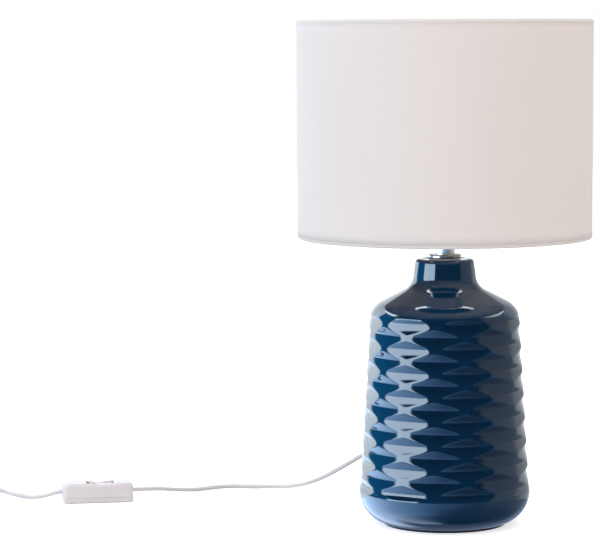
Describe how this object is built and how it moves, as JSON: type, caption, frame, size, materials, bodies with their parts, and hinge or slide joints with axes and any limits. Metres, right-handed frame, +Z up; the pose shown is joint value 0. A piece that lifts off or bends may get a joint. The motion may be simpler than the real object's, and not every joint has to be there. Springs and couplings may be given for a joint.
{
  "type": "table lamp with shade",
  "caption": "Table lamp with a faceted blue ceramic body, a white fabric drum shade, a screw lampholder with bulb, and a white flat lead with in-line rocker switch and plug.",
  "frame": {"origin": "on the lamp's axis, at the underside of the foot", "axes": "+Z up along the lamp's axis, the front faces -Y, and the lead lies towards -X"},
  "size_m": [0.6289, 0.3815, 0.427],
  "materials": {
    "ceramic_glaze": "glossy deep blue glaze",
    "felt": "dark felt",
    "zinc_steel": "zinc plated",
    "chrome": "polished",
    "white_metal": "white powder coat",
    "white_plastic": "white, slightly glossy",
    "steatite": "unglazed, off-white",
    "brass": "plain",
    "shade_fabric": "fine horizontal weave, off-white",
    "shade_lining": "smooth white translucent film",
    "bulb_glass": "opal",
    "bulb_metal": "bare",
    "black_glass": "black vitrified insulator",
    "lead_white": "soft white PVC sheath",
    "soft_white": "soft white moulding",
    "tie_black": "coated wire tie",
    "copper": "bare copper cores",
    "nickel": "nickel plated"
  },
  "bodies": {
    "lamp": {"ceramic_body": "ceramic_glaze", "foot_pad": "felt", "base_plate": "zinc_steel", "bottom_washer": "zinc_steel", "bottom_nut": "zinc_steel", "threaded_rod": "zinc_steel", "neck_seal": "soft_white", "neck_disc": "chrome", "neck_collar": "chrome", "holder_cap": "white_plastic", "holder_sleeve": "white_plastic", "holder_core": "steatite", "holder_thread": "brass", "centre_contact": "brass", "terminal_screws": "brass", "shade_ring_lower": "white_plastic", "shade_ring_upper": "white_plastic", "shade_carrier": "white_metal", "shade_top_wire": "white_metal", "shade_liner": "shade_lining", "shade_fabric": "shade_fabric", "shade_top_hem": "shade_fabric", "shade_bottom_hem": "shade_fabric", "bulb_glass": "bulb_glass", "bulb_cap": "bulb_metal", "bulb_insulator": "black_glass", "bulb_contact": "brass", "lead_gland": "soft_white", "lead_inner": "lead_white", "lead_lamp_side": "lead_white", "lead_plug_side": "lead_white", "lead_coil": "lead_white", "lead_tail": "lead_white", "coil_tie": "tie_black", "switch_base": "white_plastic", "switch_cover": "white_plastic", "rocker_pin": "zinc_steel", "switch_screws": "zinc_steel", "switch_terminals": "brass", "switch_cores": "copper", "plug_boot": "soft_white", "plug_body": "white_plastic", "plug_sleeves": "white_plastic", "plug_pins": "nickel"},
    "rocker": {"switch_rocker": "white_plastic"}
  },
  "joints": [
    {"name": "rocker_tilt", "type": "hinge", "parent": "lamp", "child": "rocker", "pos_m": [-0.30765, 0.09799, 0.0128], "axis": [0.204, -0.979, 0], "range_deg": [0, 20]}
  ]
}
